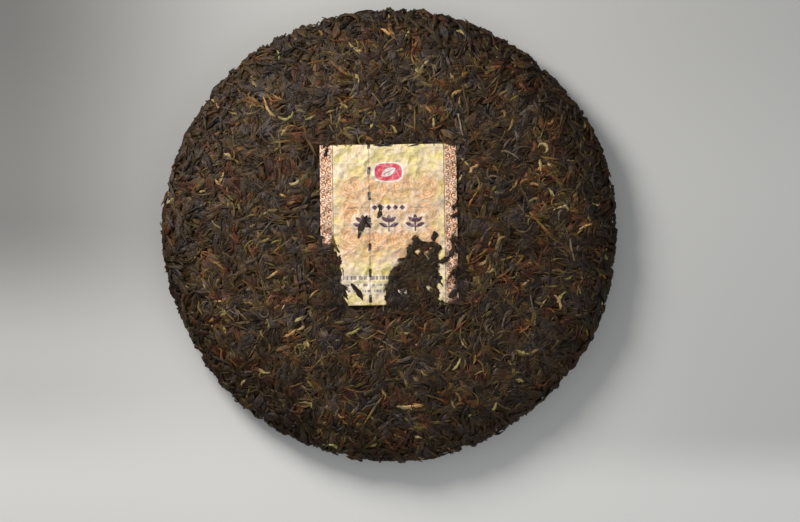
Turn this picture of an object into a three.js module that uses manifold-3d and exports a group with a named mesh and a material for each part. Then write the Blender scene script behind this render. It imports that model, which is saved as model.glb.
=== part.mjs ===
// A pressed cake of pu-erh tea, lying on its back with the domed front up, in millimetres, +Z up.
// Twisted tea leaves are steamed and pressed into a round cake with a domed front, a rounded side,
// a flat ring on the back that it rests on, and a dimple in the middle of that ring, left by the
// twisted end of the cloth bag. A small printed paper ticket is pressed into the front, and leaves
// lie over its lower corners. The origin is at the middle of the resting ring.
import * as THREE from "three";
import { mergeVertices } from "three/addons/utils/BufferGeometryUtils.js";
import Module from "manifold-3d";

const wasm = await Module();
wasm.setup();

// ---- the cake's driving dimensions
const CAKE_RADIUS = 99.8; // to the pressed side, from which leaves still stand out
const CROWN_HEIGHT = 25; // middle of the domed front
const BELLY_HEIGHT = 9.5; // level at which the side is widest
const DOME_POWER = 3; // how square the domed front's section is
const FOOT_RADIUS = 82; // outer edge of the back's flat ring
const DIMPLE_RADIUS = 29; // mouth of the dimple
const DIMPLE_FLOOR_RADIUS = 6;
const DIMPLE_DEPTH = 10.5;
const FOOT_LIFT = 0.5; // the ring between its pressed-flat leaves lies this much above them
const FLAT_BAND = { inner: 46, outer: 68 }; // stretch of the ring that is pressed fully flat
const PRESSED_FLAT = -0.9; // the normal's Z below which a point of the back is in the resting ring
const OUT_OF_ROUND = [
  // waves round the outline: how many, how far in or out, and where the first crest is
  { waves: 2, depth: 0.1, at: 2.3 },
  { waves: 3, depth: 0.45, at: 0.56 },
  { waves: 7, depth: 0.35, at: 0.4 },
];

// ---- the leaves' driving dimensions
const SEED = 20; // of the random draws
const SECTION_STEPS = 48; // points on each half of the section's curve
const MESH_STEP = 8; // distance between the core's points
const ROW_STEP = MESH_STEP * (Math.sqrt(3) / 2); // distance between its rings, for even triangles
const BUMPS = 1500; // leaf-sized bumps over the whole core
const BUMP = { length: [11, 19], width: [4.5, 7], height: [0.35, 1.1] };
const LEAVES = 180; // leaves that are fused on, the largest ones
const LEAF = { length: [12, 20], width: [3, 4.6], thickness: [2, 2.8], curl: 0.9 };
const LEAF_TAPER = [0.45, 1, 0.35]; // share of its full width and thickness, along it
const LEAF_RISE = [-0.3, 0.45, -0.3]; // how far its middle line stands out of the core
const LEAF_FLOOR = 0.1; // the lowest that a fused leaf reaches; the pressed-flat band is at 0
const RIM_SPLAY = 0.7; // how much further one end of a leaf at the rim stands out
const RIM = { inner: 88, low: 2, high: 19 }; // where a leaf counts as at the rim
const FACING_DOWN = -0.5; // the normal's Z below which a place is on the back

// ---- the ticket's driving dimensions
const TICKET_CENTRE = { x: -0.4, y: 2.1 };
const TICKET_TURN = THREE.MathUtils.degToRad(0.8);
const TICKET_SIZE = { width: 60, height: 70.8 };
const TICKET_THICKNESS = 0.4;
const TICKET_LIFT = 0.35; // its underside above the smooth dome
const TICKET_STEP = 5; // distance between its points
const TICKET_RIPPLE = 0.22; // how far it rises and falls over the leaves under it
const SHEET_MARGIN = 2; // how far the uncut sheet runs past the ticket's edges
const CLEARANCE = 0.35; // between the ticket and the leaves round it
// The part of the ticket that shows, from its top left corner clockwise, from its own centre.
// The leaves pressed over its lower left, its lower right and its right edge end at this line.
const TICKET_OUTLINE = [
  [-30, 35.4], [28, 35.4], [29.3, 34.2], [28.6, 32.4], [30, 29], [30, 10.2], [26.8, 8.6], [30, 5.5],
  [30, -3.8], [27.4, -5], [27.4, -10], [30, -13.4], [30, -17.6], [27.6, -19.6], [27, -23.5],
  [28.8, -29], [30, -31], [30, -34.2], [20.6, -34.2], [20.8, -26], [22.2, -22.8], [21, -18],
  [22.4, -13], [23.4, -10], [22, -8.2], [16, -8.2], [12.5, -5.4], [9.6, -7], [8.7, -10],
  [4.9, -16], [2.6, -19], [-0.8, -20.8], [0, -24], [-3.8, -30.4], [-1.2, -35.4], [-17.4, -35.4],
  [-19.4, -31.6], [-18.4, -28], [-20.6, -25.8], [-21.4, -21], [-20.6, -17], [-22.6, -9],
  [-23.6, -5], [-30, -2.8],
];
// Loose bits of leaf pressed onto the ticket: middle, heading and length.
const BITS_ON_TICKET = [
  { x: -12.5, y: -0.5, heading: 236, length: 11 },
  { x: -3, y: 5.8, heading: 290, length: 6.5 },
  { x: -26.9, y: 32, heading: 65, length: 4.5 },
];
const BIT = { width: 2.3, thickness: 1, rise: 0.1 };

const GOLDEN_ANGLE = Math.PI * (3 - Math.sqrt(5));

// A seeded source of random numbers from 0 to 1.
function seeded(seed) {
  let state = seed;
  return () => {
    state = (state + 0x6d2b79f5) | 0;
    let t = Math.imul(state ^ (state >>> 15), 1 | state);
    t = (t + Math.imul(t ^ (t >>> 7), 61 | t)) ^ t;
    return ((t ^ (t >>> 14)) >>> 0) / 4294967296;
  };
}

const between = ([low, high], share) => low + (high - low) * share;

// ---- the smooth cake

function frontHeight(r) {
  const share = Math.min(r / CAKE_RADIUS, 1);
  return BELLY_HEIGHT + (CROWN_HEIGHT - BELLY_HEIGHT) * Math.sqrt(1 - share ** DOME_POWER);
}

function backHeight(r) {
  if (r > FOOT_RADIUS) {
    const share = (r - FOOT_RADIUS) / (CAKE_RADIUS - FOOT_RADIUS);
    return FOOT_LIFT + (BELLY_HEIGHT - FOOT_LIFT) * (1 - Math.sqrt(1 - Math.min(share, 1) ** 2));
  }
  const closed = THREE.MathUtils.smoothstep(r, DIMPLE_FLOOR_RADIUS, DIMPLE_RADIUS);
  return FOOT_LIFT + (DIMPLE_DEPTH - FOOT_LIFT) * (1 - closed);
}

// Half the cake's section, from the crown round the side to the middle of the dimple.
function sectionCurve() {
  const points = [];
  const quarter = Math.PI / 2;
  for (let i = 0; i <= SECTION_STEPS; i++) {
    const r = CAKE_RADIUS * Math.sin(quarter * (i / SECTION_STEPS));
    points.push(new THREE.Vector2(r, frontHeight(r)));
  }
  for (let i = 1; i <= SECTION_STEPS; i++) {
    const r = CAKE_RADIUS * Math.cos(quarter * (i / SECTION_STEPS));
    points.push(new THREE.Vector2(Math.max(r, 0), backHeight(r)));
  }
  return new THREE.SplineCurve(points);
}

const section = sectionCurve();
const sectionLength = section.getLength();

function outOfRound(angle) {
  return OUT_OF_ROUND.reduce((sum, w) => sum + w.depth * Math.cos(w.waves * (angle - w.at)), 0);
}

// The point at a share of the way along the section and at an angle round the cake, with the
// outward normal and the two directions in the surface.
function surfaceAt(along, angle) {
  const fromPole = 0.0005;
  const share = THREE.MathUtils.clamp(along, fromPole, 1 - fromPole);
  const p = section.getPointAt(share);
  const t = section.getTangentAt(share);
  const radial = new THREE.Vector3(Math.cos(angle), Math.sin(angle), 0);
  const up = new THREE.Vector3(0, 0, 1);
  const radius = p.x + outOfRound(angle) * (p.x / CAKE_RADIUS) ** 2;
  return {
    radius,
    point: radial.clone().multiplyScalar(radius).addScaledVector(up, p.y),
    normal: radial.clone().multiplyScalar(-t.y).addScaledVector(up, t.x),
    out: radial.clone().multiplyScalar(t.x).addScaledVector(up, t.y),
    round: new THREE.Vector3(-Math.sin(angle), Math.cos(angle), 0),
  };
}

// A function that turns a share of the cake's area, counted from the crown, into a share of the
// way along its section, so that things can be spread evenly over the surface.
function evenSpread() {
  const steps = 300;
  const area = [0];
  for (let i = 1; i <= steps; i++) {
    area.push(area[i - 1] + section.getPointAt((i - 0.5) / steps).x);
  }
  return (share) => {
    const target = share * area[steps];
    const i = area.findIndex((a) => a >= target);
    return i < 1 ? 0 : (i - (area[i] - target) / (area[i] - area[i - 1])) / steps;
  };
}

const alongForArea = evenSpread();

// ---- the leaf-sized bumps

function makeBumps(random) {
  return Array.from({ length: BUMPS }, (_, k) => {
    const place = surfaceAt(alongForArea((k + 0.5) / BUMPS), k * GOLDEN_ANGLE);
    const heading = random() * Math.PI;
    const along = place.out.multiplyScalar(Math.cos(heading));
    return {
      centre: place.point,
      along: along.addScaledVector(place.round, Math.sin(heading)),
      halfLength: between(BUMP.length, random()) / 2,
      halfWidth: between(BUMP.width, random()) / 2,
      height: between(BUMP.height, random()),
    };
  });
}

// How far the bumps lift the surface at a point: the highest one counts.
function relief(bumps, point) {
  let lift = 0;
  const offset = new THREE.Vector3();
  for (const bump of bumps) {
    offset.subVectors(point, bump.centre);
    if (offset.lengthSq() > bump.halfLength ** 2) continue;
    const along = offset.dot(bump.along);
    const across = Math.sqrt(Math.max(offset.lengthSq() - along ** 2, 0));
    if (across > bump.halfWidth) continue;
    const round = (1 - (along / bump.halfLength) ** 2) * (1 - (across / bump.halfWidth) ** 2);
    lift = Math.max(lift, bump.height * Math.sqrt(round));
  }
  return lift;
}

// ---- the core: rings of points round the section, stitched together

function ringOf(along, index, bumps) {
  const radius = section.getPointAt(along).x;
  const count = Math.max(1, Math.round((2 * Math.PI * radius) / MESH_STEP));
  const ring = [];
  for (let j = 0; j < count; j++) {
    const angle = ((j + (index % 2) / 2) / count) * 2 * Math.PI;
    const place = surfaceAt(along, angle);
    const inBand = place.radius > FLAT_BAND.inner && place.radius < FLAT_BAND.outer;
    const flat = inBand && place.normal.z < PRESSED_FLAT;
    const point = place.point.clone().addScaledVector(place.normal, relief(bumps, place.point));
    point.z = flat ? 0 : Math.max(point.z, 0);
    ring.push(point);
  }
  return ring;
}

// Triangles between two rings of any number of points, walking round both by angle.
function stitch(first, second, firstStart, secondStart, faces) {
  let i = 0;
  let j = 0;
  while (i < first || j < second) {
    const a = firstStart + (i % first);
    const b = secondStart + (j % second);
    const secondIsNext = j < second && (j + 1) / second <= (i + 1) / first;
    if (second > 1 && (first === 1 || i >= first || secondIsNext)) {
      faces.push(a, b, secondStart + ((j + 1) % second));
      j++;
      if (first === 1 && j === second) return;
    } else {
      faces.push(a, b, firstStart + ((i + 1) % first));
      i++;
      if (second === 1 && i === first) return;
    }
  }
}

function coreSolid(bumps) {
  const stations = Math.round(sectionLength / ROW_STEP);
  const rings = [];
  for (let i = 0; i <= stations; i++) {
    const atPole = i === 0 || i === stations;
    const pole = surfaceAt(i / stations, 0).point.setX(0).setY(0);
    rings.push(atPole ? [pole] : ringOf(i / stations, i, bumps));
  }
  const faces = [];
  let start = 0;
  for (let i = 0; i < stations; i++) {
    const next = start + rings[i].length;
    stitch(rings[i].length, rings[i + 1].length, start, next, faces);
    start = next;
  }
  return solidFrom(rings.flat(), faces);
}

// ---- solids from points and triangles

function solidFrom(points, faces) {
  return new wasm.Manifold(
    new wasm.Mesh({
      numProp: 3,
      vertProperties: new Float32Array(points.flatMap((p) => [p.x, p.y, p.z])),
      triVerts: new Uint32Array(faces),
    }),
  );
}

function solidOfGeometry(geometry) {
  geometry.deleteAttribute("normal");
  geometry.deleteAttribute("uv");
  const merged = mergeVertices(geometry, 1e-4);
  return new wasm.Manifold(
    new wasm.Mesh({
      numProp: 3,
      vertProperties: new Float32Array(merged.attributes.position.array),
      triVerts: new Uint32Array(merged.index.array),
    }),
  );
}

// The three.js geometry of a solid's largest body, which drops loose scraps and fills sealed hollows.
// Merging the points that only touch can seal another hollow, so it goes on until one body is left.
function geometryOf(solid) {
  let geometry;
  for (let bodies = solid.decompose(); bodies.length > 0; ) {
    const [body] = bodies.sort((a, b) => b.volume() - a.volume());
    const mesh = body.getMesh();
    geometry = new THREE.BufferGeometry();
    geometry.setAttribute("position", new THREE.BufferAttribute(mesh.vertProperties, 3));
    geometry.setIndex(new THREE.BufferAttribute(mesh.triVerts, 1));
    bodies = solidOfGeometry(geometry.clone()).decompose();
    if (bodies.length === 1) break;
  }
  geometry.computeVertexNormals();
  return geometry;
}

// ---- leaves: a tapered strip of four-sided section along a short path

// Each station has a middle point, the way up there, and half the strip's width and thickness.
function stripSolid(stations) {
  const points = [];
  const faces = [];
  stations.forEach((station, i) => {
    const before = stations[Math.max(i - 1, 0)].middle;
    const after = stations[Math.min(i + 1, stations.length - 1)].middle;
    const along = new THREE.Vector3().subVectors(after, before).normalize();
    const side = new THREE.Vector3().crossVectors(station.up, along).normalize();
    for (const [across, high] of [[1, 0], [0, 1], [-1, 0], [0, -1]]) {
      const point = station.middle
        .clone()
        .addScaledVector(side, across * station.halfWidth)
        .addScaledVector(station.up, high * station.halfThickness);
      points.push(point.setZ(Math.max(point.z, LEAF_FLOOR)));
    }
  });
  for (let i = 0; i + 1 < stations.length; i++) {
    for (let k = 0; k < 4; k++) {
      const a = i * 4 + k;
      const b = i * 4 + ((k + 1) % 4);
      faces.push(a, b, b + 4, a, b + 4, a + 4);
    }
  }
  const last = (stations.length - 1) * 4;
  faces.push(0, 2, 1, 0, 3, 2, last, last + 1, last + 2, last, last + 2, last + 3);
  return solidFrom(points, faces);
}

function atRim(place) {
  return place.radius > RIM.inner && place.point.z > RIM.low && place.point.z < RIM.high;
}

// One leaf that lies on the cake, its line bent sideways by its curl.
function leafSolid(along, angle, random) {
  const length = between(LEAF.length, random());
  const width = between(LEAF.width, random());
  const thickness = between(LEAF.thickness, random());
  const curl = (random() - 0.5) * 2 * LEAF.curl;
  const heading = random() * 2 * Math.PI;
  const splay = atRim(surfaceAt(along, angle)) ? RIM_SPLAY : 0;
  const last = LEAF_TAPER.length - 1;
  const step = length / last;
  const stations = [];
  let place = { along, angle };
  let turned = heading - curl / 2;
  for (let i = 0; i <= last; i++) {
    const here = surfaceAt(place.along, place.angle);
    const rise = LEAF_RISE[i] + splay * (i / last);
    stations.push({
      middle: here.point.clone().addScaledVector(here.normal, rise),
      up: here.normal,
      halfWidth: (width / 2) * LEAF_TAPER[i],
      halfThickness: (thickness / 2) * LEAF_TAPER[i],
    });
    place = {
      along: place.along + (step * Math.cos(turned)) / sectionLength,
      angle: place.angle + (step * Math.sin(turned)) / here.radius,
    };
    turned += curl / last;
  }
  return stripSolid(stations);
}

// Is this place one where a fused leaf may start? The crown is under the ticket, the resting band
// stays flat, and the dimple is too tight for the larger leaves.
function leafMayLie(place) {
  const reach = LEAF.length[1];
  const inBand = place.radius > FLAT_BAND.inner - reach && place.radius < FLAT_BAND.outer + reach;
  const inDimple = place.radius < DIMPLE_RADIUS;
  const onBack = place.normal.z < FACING_DOWN;
  return place.radius > reach && !(onBack && (inBand || inDimple));
}

function leafSolids(random) {
  const leaves = [];
  for (let k = 0; leaves.length < LEAVES; k++) {
    const along = alongForArea((k * (Math.sqrt(2) - 1)) % 1);
    const angle = k * GOLDEN_ANGLE;
    if (leafMayLie(surfaceAt(along, angle))) leaves.push(leafSolid(along, angle, random));
  }
  return leaves;
}

// ---- the ticket

// From the ticket's own plane to the cake's.
function onCake([x, y]) {
  const turned = new THREE.Vector2(x, y).rotateAround(new THREE.Vector2(), TICKET_TURN);
  return turned.add(new THREE.Vector2(TICKET_CENTRE.x, TICKET_CENTRE.y));
}

// Height of the ticket's underside: it follows the dome and the leaves under it.
function ticketHeight(x, y) {
  const ripple = Math.sin(x / 3.1 + y / 7.3) * Math.sin(y / 4.2 - x / 9.7);
  return frontHeight(Math.hypot(x, y)) + TICKET_LIFT + TICKET_RIPPLE * ripple;
}

// A wavy sheet as large as the ticket and its margin: its underside is at ticketHeight + low, and
// its top is high above that. Both faces are split into triangles alike.
function sheetSolid(margin, low, high) {
  const width = TICKET_SIZE.width + 2 * margin;
  const height = TICKET_SIZE.height + 2 * margin;
  const columns = Math.round(width / TICKET_STEP);
  const rows = Math.round(height / TICKET_STEP);
  const points = [];
  for (const level of [low, low + high]) {
    for (let j = 0; j <= rows; j++) {
      for (let i = 0; i <= columns; i++) {
        const { x, y } = onCake([(i / columns - 0.5) * width, (j / rows - 0.5) * height]);
        points.push(new THREE.Vector3(x, y, ticketHeight(x, y) + level));
      }
    }
  }
  const across = columns + 1;
  const layer = across * (rows + 1);
  const faces = [];
  for (let j = 0; j < rows; j++) {
    for (let i = 0; i < columns; i++) {
      const a = j * across + i;
      const [b, c, d] = [a + 1, a + across + 1, a + across];
      faces.push(a, c, b, a, d, c, layer + a, layer + b, layer + c, layer + a, layer + c, layer + d);
    }
  }
  const rim = [];
  for (let i = 0; i < columns; i++) rim.push(i);
  for (let j = 0; j < rows; j++) rim.push(j * across + columns);
  for (let i = columns; i > 0; i--) rim.push(rows * across + i);
  for (let j = rows; j > 0; j--) rim.push(j * across);
  rim.forEach((a, k) => {
    const b = rim[(k + 1) % rim.length];
    faces.push(a, b, layer + b, a, layer + b, layer + a);
  });
  return solidFrom(points, faces);
}

// An upright prism over the part of the ticket that shows, wider all round by a margin.
function outlinePrism(margin) {
  const shape = new THREE.Shape(TICKET_OUTLINE.map(onCake));
  const geometry = new THREE.ExtrudeGeometry(shape, {
    depth: 2 * CROWN_HEIGHT,
    bevelEnabled: margin > 0,
    bevelSize: margin,
    bevelThickness: 0.01,
    bevelSegments: 1,
  });
  return solidOfGeometry(geometry);
}

function bitSolid({ x, y, heading, length }) {
  const direction = THREE.MathUtils.degToRad(heading);
  const last = LEAF_TAPER.length - 1;
  const stations = LEAF_TAPER.map((taper, i) => {
    const run = length * (i / last - 0.5);
    const spot = onCake([x + run * Math.cos(direction), y + run * Math.sin(direction)]);
    const top = ticketHeight(spot.x, spot.y) + TICKET_THICKNESS;
    return {
      middle: new THREE.Vector3(spot.x, spot.y, top + BIT.rise),
      up: new THREE.Vector3(0, 0, 1),
      halfWidth: (BIT.width / 2) * taper,
      halfThickness: (BIT.thickness / 2) * taper,
    };
  });
  return stripSolid(stations);
}

function ticketSolid() {
  const sheet = sheetSolid(SHEET_MARGIN, 0, TICKET_THICKNESS);
  const visible = sheet.intersect(outlinePrism(0));
  return BITS_ON_TICKET.map(bitSolid).reduce((all, bit) => all.add(bit), visible);
}

// The room that the ticket takes out of the leaves.
function ticketRoom() {
  const above = sheetSolid(SHEET_MARGIN + CLEARANCE, -CLEARANCE, CROWN_HEIGHT);
  return above.intersect(outlinePrism(CLEARANCE));
}

// ---- the object

const random = seeded(SEED);
const bumps = makeBumps(random);
const leaves = leafSolids(random);
const pressed = leaves.reduce((all, leaf) => all.add(leaf), coreSolid(bumps));

const tea = new THREE.Mesh(
  geometryOf(pressed.subtract(ticketRoom())),
  new THREE.MeshStandardMaterial({ color: "#3b2e22", roughness: 0.75, metalness: 0 }),
);
tea.name = "pressed_tea";

const ticket = new THREE.Mesh(
  geometryOf(ticketSolid()),
  new THREE.MeshStandardMaterial({ color: "#e0c89c", roughness: 0.6, metalness: 0 }),
);
ticket.name = "paper_ticket";

// The whole is set so that its outline is centred on the origin.
const cake = new THREE.Group();
cake.add(tea, ticket);
const middle = new THREE.Box3().setFromObject(cake).getCenter(new THREE.Vector3());
cake.position.set(-middle.x, -middle.y, 0);

export default cake;
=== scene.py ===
"""The looks of a pressed cake of pu-erh tea that lies on its back with the domed front up.

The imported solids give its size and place. The heap of pressed leaves is replaced by more than eleven
thousand leaves, buds, stems and crumbs over a dark core, and the solid ticket by a thin crinkled sheet
of printed paper. Lengths are in millimetres where nothing else is said.
"""

import math

import bpy
import numpy as np
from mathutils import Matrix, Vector
from mathutils.bvhtree import BVHTree


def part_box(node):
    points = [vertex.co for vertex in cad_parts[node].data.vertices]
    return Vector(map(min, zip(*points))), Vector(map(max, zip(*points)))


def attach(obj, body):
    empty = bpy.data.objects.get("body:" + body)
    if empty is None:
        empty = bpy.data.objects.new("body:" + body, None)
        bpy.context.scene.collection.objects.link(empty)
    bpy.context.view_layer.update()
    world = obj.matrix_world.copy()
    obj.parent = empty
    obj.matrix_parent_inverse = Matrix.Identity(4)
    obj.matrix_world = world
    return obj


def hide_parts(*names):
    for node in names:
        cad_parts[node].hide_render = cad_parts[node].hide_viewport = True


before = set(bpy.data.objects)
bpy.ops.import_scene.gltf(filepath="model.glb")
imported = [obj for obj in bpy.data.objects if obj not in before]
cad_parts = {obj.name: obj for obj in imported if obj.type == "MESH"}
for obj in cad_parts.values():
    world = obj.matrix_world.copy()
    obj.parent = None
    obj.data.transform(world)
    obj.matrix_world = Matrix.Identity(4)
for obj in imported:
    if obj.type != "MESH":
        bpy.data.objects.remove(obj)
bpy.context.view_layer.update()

MM = 0.001  # metres in a millimetre

# ---- the cake's form, as in the part's source
CAKE_RADIUS = 99.8
CROWN_HEIGHT = 25.0
BELLY_HEIGHT = 9.5
DOME_POWER = 3
FOOT_RADIUS = 82.0
DIMPLE_RADIUS = 29.0
DIMPLE_FLOOR_RADIUS = 6.0
DIMPLE_DEPTH = 10.5
FOOT_LIFT = 0.5
OUT_OF_ROUND = ((2, 0.1, 2.3), (3, 0.45, 0.56), (7, 0.35, 0.4))  # waves, depth, first crest
SIDE_RADIUS = 89.0  # from here out the leaves are the side's
PROFILE_STEP = 0.1  # distance between the samples of the section

# ---- the ticket, as in the part's source
TICKET_CENTRE = np.array([-0.4, 2.1])
TICKET_TURN = math.radians(0.8)
TICKET_WIDTH, TICKET_HEIGHT = 60.0, 70.8
TICKET_RIPPLE = 0.22
BITS_ON_TICKET = (  # middle, heading in degrees, length, width and bend in radians
    (-12.5, -0.5, 236, 11, 2.6, 0.5), (-3, 5.8, 290, 6.5, 2.3, -1.2), (-26.9, 32, 65, 4.5, 1.5, 0.4),
    (-13.8, -29, 315, 9, 2.3, -0.4), (20, -5.5, 80, 4.5, 2.8, 0.3), (-9.5, 0.2, 300, 4.5, 1.6, 0.3),
    (27.9, -12, 60, 6, 2.4, 0.5), (24.3, -16.2, 20, 5, 2.6, 0.4), (29, -21.6, 95, 6, 2.4, -0.4),
    (23, -24.9, 100, 6, 2.4, 0.6), (27.9, -31, 30, 5.5, 3, 0.3), (29.2, 3.6, 15, 4, 2.2, 0.5),
)
PEEPHOLES = (  # where a bit of paper shows between those leaves: middle and half width
    (4.9, -29.6, 1.3), (7.4, -29.9, 1.2), (12.1, -11.6, 0.8), (16.4, -12.6, 0.9), (15.8, -28.2, 0.9),
    (-26.6, -6.8, 1.7), (13.0, -32.4, 0.8), (24.6, -15.5, 0.9),
)
PAPER_THICKNESS = 0.12
PAPER_TOP = 0.6  # level of the paper's top over the smooth dome
PRESSED_UNDER = 0.5  # how much lower it lies where leaves cover it
PAPER_STEP = 0.5  # distance between its points

# ---- the camera, set so that the cake's outline falls where the photograph has it
FRAME_WIDTH = 800  # pixels of the photograph
CAKE_AT = (389.0, 234.9)  # pixel at the middle of the cake's outline
FRAME_MIDDLE = (400.0, 261.0)
MM_PER_PIXEL = 0.4427
LENS = 120.0
SENSOR = 36.0
CAMERA_TILT = math.radians(5.0)  # how far the view leans from straight down, towards the lower edge
RIM_LEVEL = 12.0  # height at which the outline is seen

SEED = 20  # of the random draws
rng = np.random.default_rng(SEED)


# ---- the smooth cake


def front_height(r):
    share = np.clip(r / CAKE_RADIUS, 0, 1)
    return BELLY_HEIGHT + (CROWN_HEIGHT - BELLY_HEIGHT) * np.sqrt(1 - share**DOME_POWER)


def back_height(r):
    share = np.clip((r - FOOT_RADIUS) / (CAKE_RADIUS - FOOT_RADIUS), 0, 1)
    side = FOOT_LIFT + (BELLY_HEIGHT - FOOT_LIFT) * (1 - np.sqrt(1 - share**2))
    closed = np.clip((r - DIMPLE_FLOOR_RADIUS) / (DIMPLE_RADIUS - DIMPLE_FLOOR_RADIUS), 0, 1)
    closed = closed * closed * (3 - 2 * closed)
    return side + (DIMPLE_DEPTH - FOOT_LIFT) * (1 - closed)


def section():
    """Half the cake's section, from the crown round the side to the dimple's middle: points at even
    steps, and the unit tangents there."""
    quarter = np.linspace(0, math.pi / 2, 3000)
    out = CAKE_RADIUS * np.sin(quarter)
    back = CAKE_RADIUS * np.cos(quarter[1:])
    radius = np.concatenate([out, back])
    height = np.concatenate([front_height(out), back_height(back)])
    run = np.concatenate([[0], np.cumsum(np.hypot(np.diff(radius), np.diff(height)))])
    even = np.linspace(0, run[-1], round(run[-1] / PROFILE_STEP))
    points = np.stack([np.interp(even, run, radius), np.interp(even, run, height)], 1)
    tangents = np.gradient(points, even, axis=0)
    return even, points, tangents / np.linalg.norm(tangents, axis=1, keepdims=True)


RUN, SECTION, TANGENT = section()
AREA = np.cumsum(SECTION[:, 0])  # of the cake up to each point of the section, in its own unit
BELLY = int(np.argmax(SECTION[:, 0]))  # the widest point's number


def front_run(r):
    """The way along the section at a radius on the domed front."""
    return np.interp(r, SECTION[: BELLY + 1, 0], RUN[: BELLY + 1])


def back_run(r):
    """The way along the section at a radius on the back."""
    return np.interp(r, SECTION[BELLY:, 0][::-1], RUN[BELLY:][::-1])


def section_at(along):
    """Radius and height of the section at ways along it, and its unit tangent there."""
    return (np.interp(along, RUN, column) for column in (*SECTION.T, *TANGENT.T))


def surface(along, angle):
    """Points of the smooth cake with the outward normal, the way along the section and round."""
    radius, height, across, down = section_at(along)
    cos, sin, none = np.cos(angle), np.sin(angle), np.zeros_like(angle)
    point = np.stack([radius * cos, radius * sin, height], -1)
    normal = np.stack([-down * cos, -down * sin, across], -1)
    out = np.stack([across * cos, across * sin, down], -1)
    return point, normal, out, np.stack([-sin, cos, none], -1)


def nearest_run(along, point):
    """The way along the section nearest to points, from a first guess close by."""
    radius, height = np.hypot(point[:, 0], point[:, 1]), point[:, 2]
    for _ in range(3):
        r, z, across, down = section_at(along)
        along = np.clip(along + (radius - r) * across + (height - z) * down, 0, RUN[-1])
    return along


def unit(vectors):
    return vectors / np.linalg.norm(vectors, axis=-1, keepdims=True)


def out_of_round(points):
    """The points with the outline's few slow waves, which fade towards the middle."""
    angle = np.arctan2(points[..., 1], points[..., 0])
    radius = np.hypot(points[..., 0], points[..., 1])
    wave = sum(depth * np.cos(waves * (angle - at)) for waves, depth, at in OUT_OF_ROUND)
    grown = points.copy()
    grown[..., :2] *= (1 + wave * radius / CAKE_RADIUS**2)[..., None]
    return grown


# ---- the ticket's place


def turned(x, y, angle):
    """Points of a plane after a turn about 0, 0."""
    cos, sin = math.cos(angle), math.sin(angle)
    return x * cos - y * sin, x * sin + y * cos


def to_ticket(x, y):
    """From the cake's plane to the ticket's own, whose middle is 0, 0."""
    return turned(x - TICKET_CENTRE[0], y - TICKET_CENTRE[1], -TICKET_TURN)


def from_ticket(x, y):
    x, y = turned(x, y, TICKET_TURN)
    return x + TICKET_CENTRE[0], y + TICKET_CENTRE[1]


# The frame's origin is the middle of the whole outline, so the cake's own axis is a little off it.
ticket_low, ticket_high = (np.array(corner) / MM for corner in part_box("paper_ticket"))
AXIS = (ticket_low + ticket_high)[:2] / 2 - TICKET_CENTRE

COLUMNS, ROWS = (round(size / PAPER_STEP) + 1 for size in (TICKET_WIDTH, TICKET_HEIGHT))
GRID_X, GRID_Y = np.meshgrid(
    np.linspace(-TICKET_WIDTH / 2, TICKET_WIDTH / 2, COLUMNS),
    np.linspace(-TICKET_HEIGHT / 2, TICKET_HEIGHT / 2, ROWS),
)


def shown_paper():
    """True at each point of the ticket's grid where the solid ticket lies, so where paper shows."""
    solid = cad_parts["paper_ticket"].data
    tree = BVHTree.FromPolygons(
        [v.co for v in solid.vertices], [tuple(p.vertices) for p in solid.polygons]
    )
    inside = 0.999  # the grid's outermost points are pulled in, to fall on the solid
    x, y = from_ticket(GRID_X * inside, GRID_Y * inside)
    down = Vector((0, 0, -1))
    above = 2 * CROWN_HEIGHT * MM
    spots = zip((x + AXIS[0]).ravel() * MM, (y + AXIS[1]).ravel() * MM)
    hits = [tree.ray_cast(Vector((a, b, above)), down)[0] is not None for a, b in spots]
    return np.array(hits).reshape(GRID_X.shape)


PAPER_SHOWN = shown_paper()


def grid_value(grid, x, y):
    """A ticket grid's value at points of the cake's plane, and False more than a step outside it."""
    u, v = to_ticket(x, y)
    column = np.round((u / TICKET_WIDTH + 0.5) * (COLUMNS - 1)).astype(int)
    row = np.round((v / TICKET_HEIGHT + 0.5) * (ROWS - 1)).astype(int)
    there = (column >= -1) & (column <= COLUMNS) & (row >= -1) & (row <= ROWS)
    return there & grid[np.clip(row, 0, ROWS - 1), np.clip(column, 0, COLUMNS - 1)]


def blurred(grid, times):
    for _ in range(times):
        padded = np.pad(grid, 1, mode="edge")
        grid = sum(padded[j : j + ROWS, i : i + COLUMNS] for j in range(3) for i in range(3)) / 9
    return grid


def narrower(mask, distance):
    """The mask without a margin along its ragged edges; the ticket's straight edges stay."""
    for _ in range(round(distance / PAPER_STEP)):
        padded = np.pad(mask, 1, constant_values=True)
        mask = padded[:-2, 1:-1] & padded[2:, 1:-1] & padded[1:-1, :-2] & padded[1:-1, 2:] & mask
    return mask


# How much wider or narrower the gaps between the covering leaves are from spot to spot.
UNEVEN = 1.25 + 2.0 * blurred(rng.normal(0, 1, GRID_X.shape), 1)
FLATTENED = 1.5  # how much wider than high those gaps are


def peepholes():
    """True in the small uneven gaps between the leaves that cover the ticket."""
    gaps = [np.hypot(GRID_X - x, (GRID_Y - y) * FLATTENED) < r * UNEVEN for x, y, r in PEEPHOLES]
    return np.any(gaps, 0)


# The paper that stays free of leaves. Each leaf keeps to one of these, so some of them reach further
# over the ragged edges than others.
REACHES = (0, 0, 0.5, 1, 2)
KEPT_FREE = [narrower(PAPER_SHOWN, reach) | narrower(peepholes(), reach / 3) for reach in REACHES]


# ---- leaves: closed strips along short paths over the cake


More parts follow.
